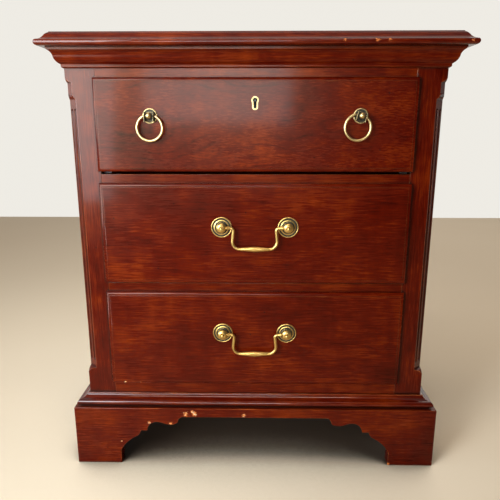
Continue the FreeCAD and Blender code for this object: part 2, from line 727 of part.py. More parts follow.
def make_ring(hand):
    """A wire ring, open at the top, whose two ends turn in to run in the cheeks."""
    ahead = "-ring_pivot_ahead"
    half_gap = math.degrees(math.asin(number("ring_end / ring_round")))
    loop = doc.addObject("Part::Torus", f"Loop_{hand}")
    loop.setExpression("Radius1", bound("ring_round"))
    loop.setExpression("Radius2", bound("ring_wire"))
    loop.setExpression("Angle3", bound("360 - 2 * asin(ring_end / ring_round) / 1deg"))
    place(loop, "0", ahead, "-ring_pivot_drop - sqrt(ring_round^2 - ring_end^2)",
          TO_FRONT * Rotation(Vector(0, 0, 1), 90 + half_gap))
    run = "ring_end - cheek_out + cheek_thick"
    pieces = [loop]
    for end_x, trunnion_x in (("-ring_end", "-ring_end"), ("ring_end", "cheek_out - cheek_thick")):
        pieces.append(ball("RingEnd", "ring_wire", end_x, ahead, "-ring_pivot_drop"))
        pieces.append(rod("Trunnion", "trunnion_round", run, trunnion_x, ahead, "-ring_pivot_drop",
                          ALONG_X))
    return joined(f"Ring_{hand}", pieces)


def make_ring_pulls():
    plates = []
    posts = []
    nuts = []
    holes = []
    z = "ring_post_high"
    bore = "stem_round + bore_gap"
    for side, hand in ((-1, "left"), (1, "right")):
        x = f"{side} * ring_spread / 2"
        turn = f"{hand}_pull_turn"
        plates.append(turned(f"RingPlate_{hand}", [
            (bore, "0"),
            ("plate_round", "0"),
            ("plate_round", "plate_web", "plate_rim"),
            ("plate_round - plate_rim", "plate_web + plate_rim", "plate_rim"),
            ("plate_round - 2 * plate_rim", "plate_web"),
            (bore, "plate_web"),
        ], x, FACE, z))
        posts.append(set_on_post(make_saddle(hand), x, z, turn))
        keep(set_on_post(make_ring(hand), x, z, turn), f"pull_ring_{hand}")
        nuts.append(nut(x, z))
        holes.append(stem_hole(x, z))
    keep(group("RingPlates", plates), "ring_pull_plates")
    keep(group("RingPosts", posts), "ring_pull_posts")
    keep(group("RingNuts", nuts), "ring_pull_nuts")
    return holes


# Bail pulls on the middle and lower drawers

def make_bail(name, z):
    """A swan-necked bail with a spindle grip and an inturned pin at each end."""
    body = new_body(f"Bail_{name}", "0", f"{FACE} - bail_pivot_ahead", z)
    start = "bail_spread / 2 - head_round - pin_gap"
    sway = "((bail_hip_out - bail_elbow_out) / bail_drop)"
    slant = f"sqrt(1 + {sway}^2)"
    elbow_run = f"bail_elbow * ({slant} + {sway})"
    bend_run = f"bail_bend * ({slant} + {sway})"
    half = [
        (start, "0"),
        (f"bail_elbow_out + {elbow_run}", "0", "bail_elbow"),
        (f"bail_elbow_out + {elbow_run} * {sway} / {slant}", f"-{elbow_run} / {slant}"),
        (f"bail_hip_out - {bend_run} * {sway} / {slant}", f"{bend_run} / {slant} - bail_drop",
         "-bail_bend"),
        (f"bail_hip_out - {bend_run}", "-bail_drop"),
    ]
    path = half + returned(flipped(half))
    route = drawn(body, "XZ_Plane", path, closed=False)
    section = disc(body, "YZ_Plane", "bail_wire", start)
    doc.recompute()
    wire = body.newObject("PartDesign::AdditivePipe", "Wire")
    wire.Profile = section
    wire.Spine = (route, [f"Edge{index}" for index in range(1, len(route.Shape.Edges) + 1)])
    doc.recompute()
    grip = [
        ("-grip_half", "0"),
        ("grip_half", "0"),
        ("grip_half", "grip_end"),
        ("grip_shoulder", "grip_shoulder_round"),
        ("0", "grip_round"),
        ("-grip_shoulder", "grip_shoulder_round"),
        ("-grip_half", "grip_end"),
    ]
    spun(body, drawn(body, "XZ_Plane", grip, shift="-bail_drop"), "H_Axis")
    doc.recompute()
    for side in (-1, 1):
        pin = [
            (f"{start} - collar_long", "0"),
            (f"{start} + pin_long", "0"),
            (f"{start} + pin_long", "pin_round"),
            (start, "pin_round"),
            (start, "collar_round"),
            (f"{start} - collar_long", "collar_round"),
        ]
        spun(body, drawn(body, "XZ_Plane", pin if side > 0 else flipped(pin)), "H_Axis")
        doc.recompute()
    keep(body, f"{name}_bail")


def make_bail_pulls(name):
    z = f"{name}_post_high"
    rosettes = []
    posts = []
    nuts = []
    holes = []
    for side in (-1, 1):
        x = f"{side} * bail_spread / 2"
        bore = "stem_round + bore_gap"
        rosettes.append(turned(f"Rosette_{name}", [
            (bore, "0"),
            ("rosette_round", "0"),
            ("rosette_round", "rosette_web", "rosette_rim"),
            ("rosette_round - rosette_rim", "rosette_web + rosette_rim", "rosette_rim"),
            ("rosette_round - 2 * rosette_rim", "rosette_web"),
            ("rib_outer", "rosette_groove"),
            ("rib_brow", "rib_brow_high"),
            ("rib_crest", "rib_crest_high"),
            ("rib_inner", "valley_high"),
            ("valley_inner", "valley_high"),
            ("boss_round", "boss_high"),
            (bore, "boss_high"),
        ], x, FACE, z))
        head = turned(f"Head_{name}", [
            ("0", "boss_high"),
            ("neck_foot", "boss_high"),
            ("neck_width", "neck_low"),
            ("neck_top", "head_low"),
            ("head_round", "head_brow"),
            ("head_round", "head_mid", "head_round"),
            ("crown_round", "crown_high"),
            ("tip_round * 0.7", "tip_ahead - tip_round * 0.72", "tip_round"),
            ("tip_round", "tip_ahead", "tip_round"),
            ("0", "tip_ahead + tip_round"),
        ], x, FACE, z)
        mouth = "bail_spread / 2 - head_round - 1"
        socket_x = across(side, mouth, f"{mouth} + pin_long + 1.8")[0]
        socket = rod("PinSocket", "pin_round + pivot_gap", "pin_long + 1.8", socket_x,
                     f"{FACE} - bail_pivot_ahead", z, ALONG_X)
        stemmed = joined(f"HeadAndStem_{name}", [head, stem(x, z, "stem_bite")])
        posts.append(cut(f"Post_{name}", stemmed, [socket]))
        nuts.append(nut(x, z))
        holes.append(stem_hole(x, z))
    keep(group(f"Rosettes_{name}", rosettes), f"{name}_bail_rosettes")
    keep(group(f"Posts_{name}", posts), f"{name}_bail_posts")
    keep(group(f"Nuts_{name}", nuts), f"{name}_bail_nuts")
    make_bail(name, z)
    return holes


# The lock

def keyhole(name, grow, near, far):
    """A keyhole-shaped prism between two depths: a round head over a slot with a round foot."""
    depth = f"({far}) - ({near})"
    width = f"(key_slot + {grow})"
    foot_z = "key_high - key_drop"
    head = rod(f"{name}_head", f"key_round + {grow}", depth, "0", far, "key_high", TO_FRONT)
    foot = rod(f"{name}_foot", width, depth, "0", far, foot_z, TO_FRONT)
    slot = board(f"{name}_slot", (f"-{width}", width), (near, far), (foot_z, "key_high"))
    return joined(name, [head, foot, slot])


def make_lock():
    """A drawer lock let into the back of the upper front, with its brass keyhole liner."""
    back = f"{FRONT} + tongue_depth + lock_back"
    front = f"{back} - lock_thick"
    top = f"{LOCK_TOP} - 1"
    liner = keyhole("LinerBlank", "key_rim", f"{FACE} - key_proud", f"{FACE} - key_proud + key_deep")
    way = keyhole("KeyWay", "0", f"{FACE} - key_proud - 1", f"{front} + 1")
    keep(cut("Liner", liner, [way]), "keyhole_escutcheon")

    case_x = ("-lock_width / 2", "lock_width / 2")
    case = board("LockCase", case_x, (front, back), (f"{top} - lock_tall", top))
    bolt_y = (f"{front} + 2", f"{front} + 2 + bolt_thick")
    bolt_z = (f"{top} - bolt_tall", top)
    slide = board("BoltSlide", ("-bolt_width / 2 - 0.3", "bolt_width / 2 + 0.3"),
                  (f"{bolt_y[0]} - 0.3", f"{bolt_y[1]} + 0.3"),
                  (f"{bolt_z[0]} - 0.5", f"{bolt_z[1]} + 1"))
    key_space = keyhole("KeySpace", "1", f"{front} - 1", f"{back} - 2")
    drill = rod("DrillPin", "drill_pin", "lock_thick + drill_reach", "0", f"{back} - 1", "key_high",
                TO_FRONT)
    keep(joined("LockBody", [cut("LockCase_cut", case, [slide, key_space]), drill]), "lock_case")
    keep(board("Bolt", ("-bolt_width / 2", "bolt_width / 2"), bolt_y, bolt_z), "lock_bolt")
    recess = board("LockRecess", case_x, (front, back), (f"{top} - lock_tall", f"{LOCK_TOP} + 2"))
    return [liner, way, recess]


def check_and_export():
    """Stop on any failed object, then write one file for each piece."""
    doc.recompute()
    for item in doc.Objects:
        if {"Invalid", "Error"} & set(item.State):
            raise RuntimeError(f"{item.Label}: {item.State}")
    os.makedirs("parts", exist_ok=True)
    for piece in subparts:
        if piece.Shape.isNull() or not piece.Shape.isValid():
            raise RuntimeError(f"{piece.Label}: bad shape")
        piece.Shape.exportStep(f"parts/{piece.Label}.step")
        print(piece.Label, len(piece.Shape.Solids), round(piece.Shape.Volume))


fill_sheet()
make_top_board()
make_mouldings("cornice", CORNICE, "cornice_out")
make_mouldings("base_moulding", BASE_MOULDING, "bead_out")
make_bracket_base()
make_case()
make_drawer("upper", make_ring_pulls() + make_lock())
for bailed in ("middle", "lower"):
    make_drawer(bailed, make_bail_pulls(bailed))
check_and_export()
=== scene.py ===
import json
import math

import bmesh
import bpy
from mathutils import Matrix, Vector


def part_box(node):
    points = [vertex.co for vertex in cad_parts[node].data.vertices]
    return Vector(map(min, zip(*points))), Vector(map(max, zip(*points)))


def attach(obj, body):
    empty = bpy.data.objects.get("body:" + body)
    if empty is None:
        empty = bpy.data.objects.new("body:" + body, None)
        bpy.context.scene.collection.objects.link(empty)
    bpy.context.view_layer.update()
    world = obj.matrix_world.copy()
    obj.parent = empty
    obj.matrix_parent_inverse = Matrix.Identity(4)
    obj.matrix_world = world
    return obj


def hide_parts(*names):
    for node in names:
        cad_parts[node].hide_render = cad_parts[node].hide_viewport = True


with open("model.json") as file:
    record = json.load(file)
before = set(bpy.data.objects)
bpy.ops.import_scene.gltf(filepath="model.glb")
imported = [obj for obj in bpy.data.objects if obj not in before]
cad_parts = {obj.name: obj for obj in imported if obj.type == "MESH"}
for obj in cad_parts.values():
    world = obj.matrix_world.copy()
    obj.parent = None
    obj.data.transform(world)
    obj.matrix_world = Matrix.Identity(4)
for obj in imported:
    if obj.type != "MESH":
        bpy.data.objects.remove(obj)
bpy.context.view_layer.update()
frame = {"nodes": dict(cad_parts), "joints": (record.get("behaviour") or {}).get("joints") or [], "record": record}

# The studio. The eye is close in front, a little lower than the top's edge, and looks slightly down.
# The light is soft: a window left of the viewer and a low strip beyond it, the room behind, a strip
# overhead, a faint glow off the wall at the left and a fill from the back.

EYE = Vector((0.0056, -0.980, 0.5833))
LOOK_DOWN = math.radians(13.52)
LOOK_LEFT = math.radians(0.96)
LENS = 36.07

camera = bpy.data.objects.new("camera", bpy.data.cameras.new("camera"))
camera.data.sensor_width = 36
camera.data.lens = LENS
camera.location = EYE
camera.rotation_euler = (math.pi / 2 - LOOK_DOWN, 0, LOOK_LEFT)
bpy.context.scene.collection.objects.link(camera)
bpy.context.scene.camera = camera
bpy.context.scene.view_settings.view_transform = "Standard"


def soft_light(name, place, target, width, height, watts, colour, spread=180):
    """A rectangular light that faces a point of the object, with its beam held to a spread."""
    lamp = bpy.data.lights.new(name, "AREA")
    lamp.shape = "RECTANGLE"
    lamp.size = width
    lamp.size_y = height
    lamp.energy = watts
    lamp.color = colour
    lamp.spread = math.radians(spread)
    holder = bpy.data.objects.new(name, lamp)
    holder.location = place
    holder.rotation_euler = (Vector(target) - Vector(place)).to_track_quat("-Z", "Y").to_euler()
    bpy.context.scene.collection.objects.link(holder)


soft_light("window", (-0.70, -1.04, 0.80), (-0.20, -0.17, 0.50), 0.50, 1.0, 12.0,
           (0.76, 0.88, 1.0), 90)
soft_light("side_window", (-2.2, -0.7, 0.66), (-0.3, -0.1, 0.6), 1.8, 0.55, 13, (0.58, 0.80, 1.0), 100)
soft_light("room", (-0.32, -3.6, 0.98), (0, 0, 0.5), 1.2, 0.7, 7.5, (0.82, 0.92, 1.0), 60)
soft_light("ceiling", (-0.1, -0.85, 2.6), (0, 0, 0.4), 1.5, 0.18, 17, (1.0, 0.88, 0.76))
soft_light("wall_glow", (-1.6, 0.30, 0.80), (-0.30, -0.15, 0.62), 0.7, 0.45, 0.9, (1.0, 0.93, 0.84), 120)
soft_light("rear_fill", (1.4, 2.5, 1.9), (0, 0, 0.4), 2.0, 1.4, 12, (1.0, 0.96, 0.9))

world = bpy.data.worlds.new("room")
world.use_nodes = True
bpy.context.scene.world = world
sky = world.node_tree.nodes["Background"]
direction = world.node_tree.nodes.new("ShaderNodeTexCoord")
split = world.node_tree.nodes.new("ShaderNodeSeparateXYZ")
walls = world.node_tree.nodes.new("ShaderNodeValToRGB")
walls.color_ramp.elements[0].position = 0.25
walls.color_ramp.elements[0].color = (0.030, 0.022, 0.018, 1)
walls.color_ramp.elements[1].position = 0.80
walls.color_ramp.elements[1].color = (0.86, 0.835, 0.775, 1)
toward_wall = world.node_tree.nodes.new("ShaderNodeMapRange")
toward_wall.inputs["From Min"].default_value = -1
world.node_tree.links.new(direction.outputs["Generated"], split.inputs[0])
world.node_tree.links.new(split.outputs["Y"], toward_wall.inputs["Value"])
world.node_tree.links.new(toward_wall.outputs[0], walls.inputs[0])
world.node_tree.links.new(walls.outputs[0], sky.inputs["Color"])

# The floor is one pale, matt, seamless sheet. Below the case, where little light reaches, its
# colour is painted dark as shade.


class Field:
    """A shader value that can stand in a sum: each operator adds one Math node."""

    def __init__(self, finish, socket):
        self.finish = finish
        self.socket = socket

    def made(self, operation, first, second=0.0):
        return self.finish.node("Math", {"operation": operation}, {0: first, 1: second})

    def __add__(self, other):
        return self.made("ADD", self, other)

    def __radd__(self, other):
        return self.made("ADD", other, self)

    def __sub__(self, other):
        return self.made("SUBTRACT", self, other)

    def __rsub__(self, other):
        return self.made("SUBTRACT", other, self)

    def __mul__(self, other):
        return self.made("MULTIPLY", self, other)

    def __rmul__(self, other):
        return self.made("MULTIPLY", other, self)

    def __truediv__(self, other):
        return self.made("DIVIDE", self, other)

    def __pow__(self, other):
        return self.made("POWER", self, other)


class Finish:
    """A material in the making, on one Principled shader."""

    def __init__(self, name, **constants):
        self.material = bpy.data.materials.new(name)
        self.material.use_nodes = True
        self.tree = self.material.node_tree
        self.shader = self.tree.nodes["Principled BSDF"]
        for socket, value in constants.items():
            self.shader.inputs[socket.replace("_", " ")].default_value = value

    def node(self, kind, settings=None, sockets=None, output=0):
        """Add a node: its settings first, then the values or links of its sockets."""
        added = self.tree.nodes.new("ShaderNode" + kind)
        for setting, value in (settings or {}).items():
            if setting == "stops":
                for place, _ in value[2:]:
                    added.color_ramp.elements.new(place)
                for stop, (place, colour) in zip(added.color_ramp.elements, value):
                    stop.position = place
                    stop.color = (*colour, 1)
            else:
                setattr(added, setting, value)
        for socket, value in (sockets or {}).items():
            self.feed(added.inputs[socket], value)
        return Field(self, added.outputs[output])

    def feed(self, socket, value):
        if isinstance(value, Field):
            self.tree.links.new(value.socket, socket)
        else:
            socket.default_value = value

    def attribute(self, name, output="Fac"):
        return self.node("Attribute", {"attribute_name": name}, output=output)

    def speckle(self, where, scale, detail=2.0, rough=0.5):
        """Noise from 0 to 1 whose size differs along each axis of the grain."""
        stretched = self.node("VectorMath", {"operation": "MULTIPLY"}, {0: where, 1: scale})
        return self.node("TexNoise", {}, {"Vector": stretched, "Scale": 1.0, "Detail": detail,
                                          "Roughness": rough})

    def step(self, value, low, high):
        """0 below low, 1 above high, and a smooth rise between."""
        return self.node("MapRange", {"interpolation_type": "SMOOTHSTEP"},
                         {"Value": value, "From Min": low, "From Max": high})

    def mix(self, amount, first, second):
        """A colour between two, each a link or (red, green, blue)."""
        ends = [c if isinstance(c, Field) else (*c, 1) for c in (first, second)]
        return self.node("Mix", {"data_type": "RGBA"}, {0: amount, 6: ends[0], 7: ends[1]}, output=2)

    def bump(self, height, depth):
        self.feed(self.shader.inputs["Normal"], self.node(
            "Bump", {}, {"Height": height, "Distance": depth, "Strength": 1.0}))


FLOOR_HALF = 2.4
SHADE_REACH = 0.25

pale = Finish("pale_floor", Roughness=0.62, Specular_IOR_Level=0.25)
spot = pale.node("TexCoord", output="Object")
sheet = pale.mix(pale.speckle(spot, (1.3, 1.3, 1.3)), (0.62, 0.485, 0.335), (0.67, 0.535, 0.38))
# Painted shadow: where the ambient occlusion finds the case close above, the floor's colour goes near black.
open_sky = pale.node("AmbientOcclusion", {"samples": 16}, {"Distance": SHADE_REACH}, output="AO")
pale.feed(pale.shader.inputs["Base Color"],
          pale.mix(pale.step(open_sky, 0.30, 0.80), (0.030, 0.017, 0.009), sheet))
floor_mesh = bpy.data.meshes.new("floor")
floor_mesh.from_pydata([(x * FLOOR_HALF, y * FLOOR_HALF, 0) for x, y in
                        ((-1, -1), (1, -1), (1, 1), (-1, 1))], [], [(0, 1, 2, 3)])
floor_mesh.materials.append(pale.material)
floor = bpy.data.objects.new("floor", floor_mesh)
bpy.context.scene.collection.objects.link(floor)

# The case's two front posts and two side panels: solid cherry, stained dark red and lacquered.
# Each post has a stopped chamfer with two flutes on its outer corner. The panels are glued behind.

body_of = {node: body for body, nodes in frame["record"]["behaviour"]["bodies"].items()
           for node in nodes}

MM = 0.001
WELD = 0.01 * MM
FLAT = math.radians(0.6)
CORNER = math.radians(30)
CREASE = math.radians(38)
SHORTEST = 1.0 * MM
EASE = 0.45 * MM


def eased(node, ease=EASE, shortest=SHORTEST):
    """A node's shape with its outer corners rounded, which are marked as arrises."""
    shape = bmesh.new()
    shape.from_mesh(frame["nodes"][node].data)
    bmesh.ops.remove_doubles(shape, verts=shape.verts, dist=WELD)
    bmesh.ops.dissolve_limit(shape, angle_limit=FLAT, verts=shape.verts, edges=shape.edges)
    arris = shape.faces.layers.float.new("arris")
    corners = [edge for edge in shape.edges
               if edge.is_convex and edge.calc_face_angle(0) > CORNER
               and edge.calc_length() > shortest]
    rounded = bmesh.ops.bevel(shape, geom=corners, offset=ease, offset_type="OFFSET", segments=2,
                              profile=0.5, affect="EDGES", clamp_overlap=False)
    for face in rounded["faces"]:
        face[arris] = 1.0
    return shape


def settled(shape, name, finish, *nodes):
    """Turn a shape into a piece that stands for its nodes and moves with their body."""
    bmesh.ops.recalc_face_normals(shape, faces=shape.faces)
    mesh = bpy.data.meshes.new(name)
    shape.to_mesh(mesh)
    shape.free()
    mesh.shade_smooth()
    mesh.set_sharp_from_angle(angle=CREASE)
    mesh.materials.append(finish)
    piece = bpy.data.objects.new(name, mesh)
    bpy.context.scene.collection.objects.link(piece)
    piece.modifiers.new("even_shading", "WEIGHTED_NORMAL").keep_sharp = True
    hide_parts(*nodes)
    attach(piece, body_of[nodes[0]])


def lay_grain(shape, axes, heart, lean, apex, serial):
    """Give each point its place in the log, as (along, across, through) the grain.

    heart is how far the log's middle lies behind the board, lean how fast it drifts away and
    apex where along the board that drift starts, which is where the arched figure points.
    """
    grain = shape.verts.layers.float_vector.new("grain")
    along, across, through = ("xyz".index(axis) for axis in axes)
    middle = [sum(v.co[a] for v in shape.verts) / len(shape.verts) for a in range(3)]
    for vert in shape.verts:
        run = vert.co[along] - middle[along]
        vert[grain] = (vert.co[along] + serial * 1.713,
                       vert.co[across] - middle[across] + 0.004 * math.sin(serial * 2.1),
                       vert.co[through] - middle[through] + heart + lean * (run - apex))


def sawn(node, axes, finish, heart=0.09, lean=0.02, apex=0.0, serial=0.0, ease=EASE):
    """A wooden piece: a node's shape, with eased arrises and a grain of its own."""
    shape = eased(node, ease)
    lay_grain(shape, axes, heart, lean, apex, serial)
    settled(shape, f"{node}_wood", finish, node)


CHERRY = {"deep": (0.012, 0.0003, 0.0001), "middle": (0.054, 0.0022, 0.0002),
          "bright": (0.150, 0.017, 0.0009)}
# GLAZE_AND_SHADE is the near-black that hollows and gaps are painted: partly glaze, partly painted shade.
GLAZE_AND_SHADE = (0.0060, 0.0014, 0.0008)
RAW_WOOD = (0.64, 0.40, 0.21)
RUBBED = (0.42, 0.110, 0.022)
HOLLOW_REACH = 6 * MM


def cherry(name, knocks=(), wear=0.5, warm=0.0, figure=0.06, year=0.0062, bared=RAW_WOOD,
           glaze_and_shade=0.88, shut=0.30, polish=0.09):
    """Stained, glazed and lacquered cherry, with spots knocked through to raw wood.

    figure is how dark the late wood is, year how wide one year's growth, bared the colour where
    it is worn through, glaze_and_shade how dark the hollows and the gaps between parts are painted,
    partly glaze and partly painted shade, shut how closed in a place must be to be called one, and
    polish how much wax is on top.
    """
    f = Finish(name, Coat_Roughness=0.09, Specular_IOR_Level=0.11, Coat_IOR=1.4)
    f.shader.inputs["Specular Tint"].default_value = (1.0, 0.72, 0.46, 1)
    grain = f.attribute("grain", "Vector")
    arris = f.attribute("arris")
    across = f.node("SeparateXYZ", sockets={0: grain}, output="Y")
    through = f.node("SeparateXYZ", sockets={0: grain}, output="Z")
    sway = f.speckle(grain, (5.0, 16.0, 16.0), 3.0)
    years = ((across * across + through * through) ** 0.5) / year + sway * 5.5
    swell = f.node("Math", {"operation": "SINE"}, {0: years * math.tau})
    faint = f.step(f.speckle(grain, (7.0, 15.0, 15.0), 2.0), 0.44, 0.60)
    late = ((swell + 1) * 0.5) ** 8.0 * faint
    fibre = f.speckle(grain, (26.0, 560.0, 560.0), 3.0, 0.62)
    vessel = f.speckle(grain, (90.0, 1700.0, 1700.0), 1.0)
    mottle = f.speckle(grain, (5.0, 12.0, 12.0), 3.0)
    blotch = f.speckle(grain, (22.0, 30.0, 30.0), 4.0, 0.6)
    ripple = f.speckle(grain, (38.0, 6.0, 6.0), 2.0)
    tone = (0.5 + warm + (mottle - 0.5) * 0.50 + (fibre - 0.5) * 0.62
            + (blotch - 0.5) * 0.44 + (ripple - 0.5) * 0.22 - late * figure)
    stain = f.node("ValToRGB", {"stops": [(0.16, CHERRY["deep"]), (0.50, CHERRY["middle"]),
                                          (0.86, CHERRY["bright"])]}, {0: tone})
    pores = f.step(vessel, 0.60, 0.72)
    stain = f.mix(pores * 0.36, stain, CHERRY["deep"])
    # Painted shade: where the ambient occlusion finds a hollow or a narrow gap between parts, the stain is
    # darkened toward GLAZE_AND_SHADE. This is partly glaze and partly painted shade.
    hollow = 1 - f.step(f.node("AmbientOcclusion", {"samples": 6}, {"Distance": HOLLOW_REACH},
                               output="AO"), shut, shut / 3 + 0.76)
    stain = f.mix(hollow * glaze_and_shade, stain, GLAZE_AND_SHADE)
    fleck = f.node("TexVoronoi", {}, {"Vector": f.node("TexCoord", output="Object"), "Scale": 26.0})
    dots = 1 - f.step(fleck, 0.020, 0.042)
    stain = f.mix(dots * 0.85, stain, (0.010, 0.0035, 0.003))
    # Painted edge highlight and wear: every arris is lightened a little toward RUBBED, and more where the noise
    # marks wear.
    rub_and_edge_light = arris * (0.16 + f.step(f.speckle(grain, (24.0, 60.0, 60.0), 3.0), 0.62 - wear * 0.2, 0.86))
    stain = f.mix(rub_and_edge_light * 0.75, stain, RUBBED)
    bare = arris * f.step(f.speckle(grain, (150.0, 150.0, 150.0), 2.0), 0.84 - wear * 0.14, 0.86)
    if knocks:
        ragged = f.speckle(f.node("TexCoord", output="Object"), (620.0, 620.0, 480.0), 4.0, 0.6)
        for place, radius in knocks:
            gap = f.node("VectorMath", {"operation": "DISTANCE"},
                         {0: f.node("TexCoord", output="Object"), 1: tuple(place)}, output="Value")
            hit = f.step(1 - gap / radius + (ragged - 0.5) * 3.4, 0.42, 0.58)
            bare = f.node("Math", {"operation": "MAXIMUM"}, {0: bare, 1: hit})
    chip = f.mix(f.step(f.speckle(grain, (260.0, 260.0, 260.0), 1.0), 0.52, 0.66), RUBBED, bared)
    f.feed(f.shader.inputs["Base Color"], f.mix(bare, stain, chip))
    smear = f.speckle(grain, (14.0, 22.0, 22.0), 3.0)
    f.feed(f.shader.inputs["Roughness"],
           0.27 + (smear - 0.5) * 0.15 + (fibre - 0.5) * 0.10 + bare * 0.4 + hollow * 0.2)
    f.feed(f.shader.inputs["Coat Weight"], (polish + arris * 0.35) * (1 - bare))
    peel = f.speckle(f.node("TexCoord", output="Object"), (90.0, 90.0, 90.0), 1.0)
    f.bump(peel * 0.55 - pores * 0.20 + fibre * 0.12 - bare * 1.6, 0.06 * MM)
    return f.material


case_cherry = cherry("case_cherry", wear=0.55)
post_cherry = cherry("post_cherry", wear=0.55, glaze_and_shade=0.97, shut=0.62, polish=0.15)
sawn("front_post_left", "zxy", post_cherry, heart=0.16, lean=0.015, serial=1)
sawn("front_post_right", "zxy", post_cherry, heart=0.15, lean=-0.012, serial=2)
sawn("side_panel_left", "zyx", case_cherry, heart=0.07, lean=0.05, apex=0.1, serial=3)
sawn("side_panel_right", "zyx", case_cherry, heart=0.08, lean=-0.04, apex=-0.1, serial=4)

# The rails across the front are the same cherry, mortised between the posts: one over each drawer,
# and a deeper one at the bottom.

# The rails' cherry is a lighter copy: its stain is lifted a little and its painted hollow shade weaker, painted
# light for the light the rails catch.
rail_cherry = cherry("rail_cherry", wear=0.5, warm=0.05, glaze_and_shade=0.62)
for serial, rail in enumerate(("top_rail", "upper_drawer_rail", "lower_drawer_rail", "bottom_rail")):
    sawn(rail, "xzy", rail_cherry, heart=0.12, lean=0.02, serial=5 + serial)

# Plain pale wood that nobody sees: the rear top rail, the strips that the drawers run on, the glue
# blocks and rear bracket of the base. Thin plywood closes the back, the floor and the dust panels.

DUST_AND_SHADE_REACH = 45 * MM
PANEL_EASE = 0.2 * MM


def plain_wood(name, deep, bright, sheen, plies=False):
    """Unstained wood, sanded but not polished. Plywood shows its layers on the edges."""
    f = Finish(name, Specular_IOR_Level=0.3)
    grain = f.attribute("grain", "Vector")
    across = f.node("SeparateXYZ", sockets={0: grain}, output="Y")
    through = f.node("SeparateXYZ", sockets={0: grain}, output="Z")
    sway = f.speckle(grain, (4.0, 12.0, 12.0), 3.0)
    years = ((across * across + through * through) ** 0.5) / 0.0045 + sway * 4.0
    late = ((f.node("Math", {"operation": "SINE"}, {0: years * math.tau}) + 1) * 0.5) ** 3.0
    fibre = f.speckle(grain, (12.0, 480.0, 480.0), 3.0, 0.6)
    mottle = f.speckle(grain, (4.0, 14.0, 14.0), 3.0)
    tone = 0.55 + (mottle - 0.5) * 0.7 + (fibre - 0.5) * 0.6 - late * 0.24
    if plies:
        layer = f.node("Math", {"operation": "SINE"}, {0: through * (math.tau / 0.0022)})
        tone = tone + layer * 0.10
    # Every arris is lightened a little, a painted edge highlight.
    rub_and_edge_light = f.attribute("arris") * 0.25
    colour = f.node("ValToRGB", {"stops": [(0.12, deep), (0.9, bright)]}, {0: tone + rub_and_edge_light})
    # Dust and painted shade: inside the case, where the ambient occlusion finds boards close by, the colour goes
    # near black.
    open_air = f.node("AmbientOcclusion", {"samples": 6}, {"Distance": DUST_AND_SHADE_REACH}, output="AO")
    dust_and_shade = f.mix(f.step(open_air, 0.32, 0.82), (0.020, 0.009, 0.005), colour)
    f.feed(f.shader.inputs["Base Color"], dust_and_shade)
    f.feed(f.shader.inputs["Roughness"], sheen + (fibre - 0.5) * 0.14)
    f.bump(fibre, 0.07 * MM)
    return f.material


sawn_pine = plain_wood("sawn_pine", (0.30, 0.165, 0.075), (0.60, 0.41, 0.225), 0.66)
plywood = plain_wood("plywood", (0.34, 0.20, 0.10), (0.62, 0.44, 0.26), 0.62, plies=True)
hidden = {"rear_top_rail": "xzy", "drawer_runners": "yxz", "drawer_guides": "yxz",
          "drawer_kickers": "yxz", "corner_glue_blocks": "zxy", "bracket_base_rear": "xzy"}
for serial, (node, axes) in enumerate(hidden.items()):
    sawn(node, axes, sawn_pine, heart=0.07, serial=20 + serial)
for serial, (node, axes) in enumerate({"back_panel": "zxy", "bottom_panel": "xyz",
                                       "dust_panels": "xyz"}.items()):
    sawn(node, axes, plywood, heart=0.30, lean=0.0, serial=30 + serial, ease=PANEL_EASE)

# The base: a scrolled bracket board on the front and each side, mitred at the front corners, and a
# bead and cove moulding planted on top. Years of vacuum cleaners have chipped the sawn edges.

base_low, base_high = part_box("bracket_base_front")
apron_y = base_low.y
foot_height = base_high.z
middle_x = (base_low.x + base_high.x) / 2
base_half = (base_high.x - base_low.x) / 2


def on_apron(across, up, radius):
    """A knocked spot on the base's front, as shares of its half width and its height."""
    return (Vector((middle_x + across * base_half, apron_y, up * foot_height)), radius * MM)


base_knocks = [on_apron(*spot) for spot in (
    (-0.380, 0.90, 6.0), (-0.332, 0.91, 6.5), (-0.345, 0.95, 4.0), (-0.057, 0.89, 5.0),
    (-0.464, 0.73, 4.4), (-0.584, 0.745, 3.6), (-0.747, 0.40, 2.4), (0.114, 0.825, 3.6),
    (0.240, 0.825, 4.0), (0.309, 0.825, 4.0), (0.405, 0.735, 3.6), (0.535, 0.66, 3.2),
    (0.752, 0.02, 4.6))]
base_cherry = cherry("base_cherry", base_knocks, wear=0.75)
waxed_cherry = cherry("waxed_cherry", wear=0.55, polish=0.70)
sawn("bracket_base_front", "xzy", base_cherry, heart=0.11, lean=0.03, serial=40)
sawn("bracket_base_left", "yzx", base_cherry, heart=0.10, lean=0.03, serial=41)
sawn("bracket_base_right", "yzx", base_cherry, heart=0.12, lean=-0.03, serial=42)

MOULDING_EASE = 0.3 * MM


def run_round(moulding, finish, first_serial):
    """The front, left and right lengths of a moulding, each with its grain along it."""
    for serial, (side, axes) in enumerate((("front", "xzy"), ("left", "yzx"), ("right", "yzx"))):
        sawn(f"{moulding}_{side}", axes, finish, heart=0.10, serial=first_serial + serial,
             ease=MOULDING_EASE)


run_round("base_moulding", waxed_cherry, 43)

# The cornice is a reversed ogee run round the front and sides, under a moulded top board that is
# held by screws from below. The nose of the top has lost its finish in a few places.

NOSE_ROUND = 4.8 * MM

